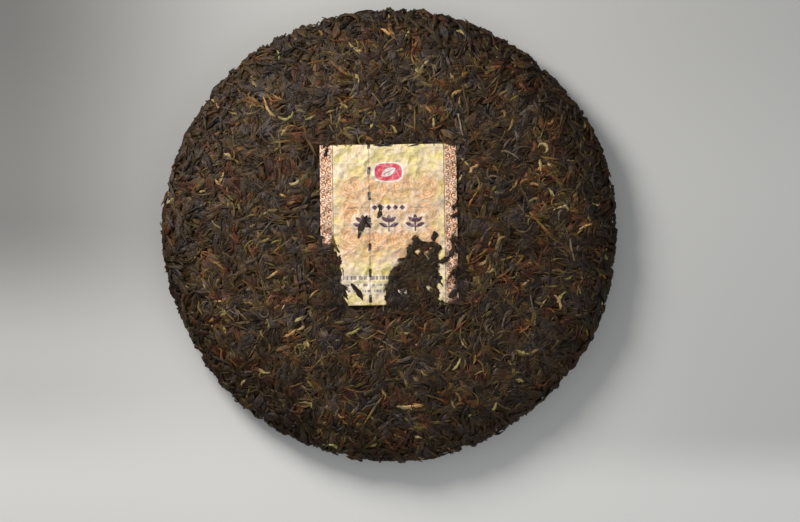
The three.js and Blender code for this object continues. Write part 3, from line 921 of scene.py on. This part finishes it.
# Colours of the print, as linear red, green, blue.
CREAM = (0.79, 0.62, 0.42, 1)
YELLOW_GREEN = (0.73, 0.60, 0.21, 1)
PALE = (0.80, 0.70, 0.50, 1)
PEACH = (0.70, 0.33, 0.125, 1)
TERRACOTTA = (0.30, 0.075, 0.030, 1)
SCROLL_CREAM = (0.84, 0.60, 0.38, 1)
ROSE = (0.62, 0.06, 0.10, 1)
WHITE = (0.82, 0.76, 0.68, 1)
PURPLE_BROWN = (0.075, 0.022, 0.050, 1)
GREY = (0.30, 0.23, 0.19, 1)
BLUE_GREY = (0.40, 0.40, 0.38, 1)
THREAD = (0.022, 0.012, 0.010, 1)
STAIN = (0.13, 0.024, 0.010, 1)

# The print's layout, from the ticket's left edge and from its top edge.
STRIP_WIDTH = 5.4
SCROLL_PITCH = 2.7
COIL_PITCH = 1.2
STAINED_FROM = 37.0
EMBLEM = (30.0, 12.3, 6.5, 4.25)  # middle, half width and half height
LATTICE = (8.0, 52.0, 14.0, 50.0)  # left, right, top and bottom
CIRCLES = (11.0, 5.2, 1.2)  # pitch, radius and distance between the rings
SPRIGS = (30.0, 34.8, 11.5, 3.8)  # middle, pitch and half height
RULES_Y = 28.0
RULES = ((13.0, 20.5), (39.5, 46.5))
DIAMONDS = (22.4, 37.4, 3.0, 1.25)  # left and right end, pitch and half width
SMALL_PRINT_ROWS = ((58.8, 0.85), (62.0, 0.55), (64.6, 0.55))  # middle and half height
SMALL_PRINT_ENDS = (9.5, 37.5)
THREAD_X = 21.5
THREAD_DASHES = (1.4, 3.5, 11.3, -1.6)  # width, length, pitch and start of the first
SOFT = 0.14  # how soft the print's edges are


class Print(Shader):
    """The ticket's print: colours laid over each other by masks, at x and y in millimetres from the
    ticket's top left corner."""

    def __init__(self, name, **settings):
        super().__init__(name, **settings)
        u, v = self.uv()
        self.x, self.y = self.times(u, TICKET_WIDTH), self.times(v, TICKET_HEIGHT)
        self.place = self.vector(self.x, self.y)
        self.colour = CREAM

    def paint(self, mask, colour, share=None):
        """Lays a colour, or a share of it, where the mask is 1."""
        if share is not None:
            mask = self.times(mask, share)
        self.colour = self.mix(mask, self.colour, colour)

    both, either = Shader.times, Shader.most

    def box(self, left, right, top, bottom):
        return self.both(self.band(self.x, left, right, SOFT), self.band(self.y, top, bottom, SOFT))

    def lens(self, u, v, half_length, half_width):
        """1 inside a leaf shape that lies along u."""
        share = self.times(u, 1 / half_length)
        bow = self.inverse(self.times(share, share))
        room = self.minus(bow, self.times(self.abs(v), 1 / half_width))
        return self.edge(room, 0.0, SOFT / half_width)

    def turned(self, u, v, degrees):
        cos, sin = math.cos(math.radians(degrees)), math.sin(math.radians(degrees))
        along = self.plus(self.times(u, cos), self.times(v, sin))
        return along, self.minus(self.times(v, cos), self.times(u, sin))

    def repeated(self, value, pitch):
        """The distance from the middle of each cell, and the cell's number."""
        cells = self.over(value, pitch)
        off = self.times(self.minus(self.math("FRACT", cells), 0.5), pitch)
        return off, self.math("FLOOR", cells)

    def radius(self, u, v):
        return self.math("SQRT", self.plus(self.times(u, u), self.times(v, v)))


def add_ground(s):
    """Blotchy cream paper with a peach lattice of uneven ringed circles in its middle."""
    s.paint(s.edge(s.noise(s.place, 0.13, 4.0), 0.5, 0.2), YELLOW_GREEN)
    left, right, top, bottom = LATTICE
    pitch, radius, ring_pitch = CIRCLES
    shaken = s.parts(s.warped(s.place, 0.12, 5.0))
    u, _ = s.repeated(s.minus(shaken[0], left), pitch)
    v, _ = s.repeated(s.minus(shaken[1], top), pitch)
    r = s.radius(u, v)
    ring, _ = s.repeated(r, ring_pitch)
    disc = s.below(r, radius, 0.3)
    zone = s.both(s.band(s.x, left, right, 5.0), s.band(s.y, top, bottom, 7.0))
    blotch = s.edge(s.noise(s.place, 0.11, 3.0), 0.48, 0.3)
    peach = s.both(zone, s.plus(0.6, s.times(blotch, 0.4)))
    s.paint(s.both(peach, s.plus(0.5, s.times(disc, 0.5))), PEACH)
    s.paint(s.both(s.both(zone, disc), s.band(ring, -0.17, 0.17, SOFT)), PALE, 0.6)
    s.paint(s.both(zone, s.band(r, radius, radius + 0.3, SOFT)), BLUE_GREY, 0.45)


def add_borders(s):
    """A border of small scrolls down each side, with a pale and a dark line along it and tea stains
    lower down."""
    inward = s.least(s.x, s.minus(TICKET_WIDTH, s.x))
    u, column = s.repeated(inward, SCROLL_PITCH)
    v, cell = s.repeated(s.plus(s.y, s.times(column, SCROLL_PITCH / 2)), SCROLL_PITCH)
    turned_over = s.math("FLOORED_MODULO", s.plus(cell, column), 2.0)
    u = s.times(u, s.inverse(s.times(turned_over, 2.0)))
    turn = s.over(s.math("ARCTAN2", v, u), 2 * math.pi)
    r = s.radius(u, v)
    coil = s.math("FRACT", s.minus(s.over(r, COIL_PITCH), turn))
    scroll = s.both(s.band(coil, 0.2, 0.7, 0.1), s.below(r, SCROLL_PITCH * 0.48, SOFT))
    corners = s.edge(s.plus(s.abs(u), s.abs(v)), SCROLL_PITCH * 0.74, 0.2)
    strip = s.below(inward, STRIP_WIDTH, SOFT)
    s.paint(strip, TERRACOTTA)
    s.paint(s.both(strip, s.either(scroll, corners)), SCROLL_CREAM)
    s.paint(s.band(inward, STRIP_WIDTH - 0.35, STRIP_WIDTH, SOFT), SCROLL_CREAM)
    s.paint(s.band(inward, STRIP_WIDTH, STRIP_WIDTH + 0.3, SOFT), THREAD)
    stains = s.edge(s.noise(s.place, 0.22, 4.0, 0.6), 0.52, 0.05)
    s.paint(s.both(strip, s.both(stains, s.edge(s.y, STAINED_FROM, 4.0))), STAIN, 0.9)


def add_emblem(s):
    """A rose-red rounded plaque with a white rim and a white leaf."""
    x, y, half_width, half_height = EMBLEM
    u, v = s.minus(s.x, x), s.minus(s.y, y)
    shares = s.over(u, half_width), s.over(v, half_height)
    out = s.plus(*(s.math("POWER", s.abs(share), 3.0) for share in shares))
    s.paint(s.below(out, 1.15, 0.15), WHITE)
    s.paint(s.below(out, 0.78, 0.12), ROSE)
    along, across = s.turned(u, v, -28)
    s.paint(s.lens(along, across, 3.6, 1.75), WHITE)
    s.paint(s.both(s.band(across, -0.16, 0.16, SOFT), s.band(along, -3.2, 2.6, SOFT)), ROSE)


def add_sprigs(s):
    """A row of three sprigs, each a stem with a leaf at its top and two pairs at its sides."""
    x, y, pitch, tall = SPRIGS
    u, _ = s.repeated(s.minus(s.x, x - pitch / 2), pitch)
    v = s.minus(s.y, y)
    row = s.band(s.x, x - 1.5 * pitch, x + 1.5 * pitch, SOFT)
    side = s.abs(u)
    shapes = s.both(s.band(u, -0.32, 0.32, SOFT), s.band(v, -tall * 0.5, tall, SOFT))
    shapes = s.either(shapes, s.lens(s.plus(v, tall * 0.5), u, tall * 0.5, 1.0))
    for rise, reach, lean in ((-0.2, 1.9, 38), (1.9, 2.3, 24)):
        along, across = s.turned(side, s.minus(v, rise), -lean)
        shapes = s.either(shapes, s.lens(s.minus(along, reach + 0.2), across, reach, 0.85))
    halo = s.both(s.band(side, -1, 5.1, 0.8), s.band(v, -tall - 0.6, tall + 0.6, 0.8))
    s.paint(s.both(row, halo), WHITE, 0.35)
    s.paint(s.both(row, shapes), PURPLE_BROWN)


def add_rules(s):
    """Two thin rules with a row of small diamonds between them, and rows of dashes lower down."""
    for left, right in RULES:
        s.paint(s.box(left, right, RULES_Y - 0.15, RULES_Y + 0.2), GREY)
    left, right, pitch, half = DIAMONDS
    u, _ = s.repeated(s.minus(s.x, left), pitch)
    s.paint(s.box(left - 0.5, right + 0.5, RULES_Y - 1.6, RULES_Y + 1.6), WHITE, 0.5)
    diamond = s.below(s.plus(s.abs(u), s.abs(s.minus(s.y, RULES_Y))), half, SOFT)
    s.paint(s.both(diamond, s.band(s.x, left, right, SOFT)), PURPLE_BROWN)
    left, right = SMALL_PRINT_ENDS
    for line, half in SMALL_PRINT_ROWS:
        s.paint(s.box(left - 0.5, right + 0.5, line - half - 0.5, line + half + 0.5), WHITE, 0.5)
        spots = s.vector(s.times(s.x, 0.9 / half), line)
        dashes = s.edge(s.noise(spots, 0.8, 1.0), 0.47, 0.05)
        s.paint(s.both(s.box(left, right, line - half, line + half), dashes), PURPLE_BROWN, 0.75)


def add_thread(s):
    """The dark thread that surfaces in dashes down the paper and shows faintly between them."""
    moved = s.parts(s.warped(s.place, 0.5, 0.9))
    off = s.abs(s.minus(moved[0], THREAD_X))
    width, length, pitch, first = THREAD_DASHES
    run = s.math("FLOORED_MODULO", s.minus(moved[1], first), pitch)
    s.paint(s.below(off, 0.3, 0.3), THREAD, 0.4)
    s.paint(s.both(s.below(off, width / 2, SOFT), s.band(run, 0, length, SOFT)), THREAD)


def ticket_material():
    """The print on paper that is rubbed, with painted shade in its creases, and worn pale along its
    folds.
    """
    s = Print("ticket_print", Roughness=0.5, Specular_IOR_Level=0.4)
    for add in (add_ground, add_borders, add_emblem, add_sprigs, add_rules):
        add(s)
    s.paint(s.edge(s.noise(s.place, 0.9, 5.0, 0.75), 0.62, 0.12), PALE, 0.35)
    add_thread(s)
    creases = s.noise(s.place, 0.5, 6.0, 0.7)
    # painted shade: darker where the crease bump is low, a little lighter on its crests
    s.colour = s.mix(1.0, s.colour, s.mapped(creases, 0.35, 0.6, 0.68, 1.06), "MULTIPLY")
    cells = {"Vector": s.warped(s.place, 0.2, 6.0), "Scale": 0.2}
    facets = s.node("TexVoronoi", cells, feature="F1").outputs[0]
    folds = s.node("TexVoronoi", cells, feature="DISTANCE_TO_EDGE").outputs[0]
    s.paint(s.below(folds, 0.05, 0.08), WHITE, 0.22)
    crumple = s.bump(facets, 0.0012, 1.0, s.bump(creases, 0.0007, 0.8))
    return s.set(Base_Color=s.colour, Normal=crumple)


# ---- stage, lights and camera


# The floor's painted light and shade: its lightness down the picture's left side, down its middle and
# down its right side, as shares of the way down, and where these three lie, in metres.
FLOOR_PAINTED_SHADE = (
    ((0, 0.083), (0.45, 0.14), (0.76, 0.38), (1, 0.54)),
    ((0, 0.40), (0.5, 0.47), (1, 0.60)),
    ((0, 0.385), (0.45, 0.455), (0.87, 0.45), (1, 0.62)),
)
FLOOR_LINES = (-0.18, -0.01, 0.17)
FLOOR_BLUE = 0.97  # share of blue in its greys
FLOOR_SIZE = 12.0  # metres
PICTURE_TOP = 0.115  # metres from the floor's middle to the picture's top edge

# Each light's name, place, size, power in watts and colour, with lengths in metres.
LIGHTS = (
    ("key", (-0.345, 0.335, 0.36), 0.27, 4.5, (1.0, 0.97, 0.93)),
    ("fill", (0.7, -0.7, 0.85), 1.1, 4.6, (0.97, 0.98, 1.0)),
)
WORLD_COLOUR = (0.95, 0.97, 1.0, 1)
WORLD_STRENGTH = 0.365


def make_stage():
    """A wide floor with painted shade, darker towards the top of the picture and the left, as the
    backdrop there lies in shade.
    """
    s = Shader("pale_floor_painted_shade", Roughness=0.85)
    place = s.parts(s.spot())
    down = s.mapped(place[1], PICTURE_TOP, -PICTURE_TOP)
    greys = ([(at, (g, g, FLOOR_BLUE * g)) for at, g in line] for line in FLOOR_PAINTED_SHADE)
    # painted light and shade on the floor, one ramp for each of the three lines
    painted_shades = [s.ramp(down, stops, "EASE") for stops in greys]
    colour = painted_shades[0]
    for shade, left, right in zip(painted_shades[1:], FLOOR_LINES, FLOOR_LINES[1:]):
        colour = s.mix(s.mapped(place[0], left, right, how="SMOOTHSTEP"), colour, shade)
    s.set(Base_Color=colour)
    size = FLOOR_SIZE / 2
    corners = [(-size, -size, 0), (size, -size, 0), (size, size, 0), (-size, size, 0)]
    mesh = bpy.data.meshes.new("floor")
    mesh.from_pydata(corners, [], [(0, 1, 2, 3)])
    mesh.materials.append(s.material)
    floor = add_object("floor", mesh)


def make_lights():
    for name, place, size, power, colour in LIGHTS:
        data = bpy.data.lights.new(name, "AREA")
        data.shape = "DISK"
        data.size = size
        data.energy = power
        data.color = colour
        add_object(name, data, place, -Vector(place))
    world = bpy.data.worlds.new("studio")
    world.use_nodes = True
    background = world.node_tree.nodes["Background"]
    background.inputs[0].default_value = WORLD_COLOUR
    background.inputs[1].default_value = WORLD_STRENGTH
    bpy.context.scene.world = world
    bpy.context.scene.view_settings.view_transform = "Standard"


def make_camera():
    data = bpy.data.cameras.new("camera")
    data.lens = LENS
    data.sensor_width = SENSOR
    away = LENS / SENSOR * FRAME_WIDTH * MM_PER_PIXEL
    right, up = FRAME_MIDDLE[0] - CAKE_AT[0], CAKE_AT[1] - FRAME_MIDDLE[1]
    aim = Vector((right, up / math.cos(CAMERA_TILT), 0)) * MM_PER_PIXEL + Vector((0, 0, RIM_LEVEL))
    back = Vector((0, -math.sin(CAMERA_TILT), math.cos(CAMERA_TILT)))
    bpy.context.scene.camera = add_object("camera", data, (aim + back * away) * MM, -back)


make_camera()
make_lights()
make_stage()
core = make_core(core_material())
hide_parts("pressed_tea")
make_leaves()
make_ticket()
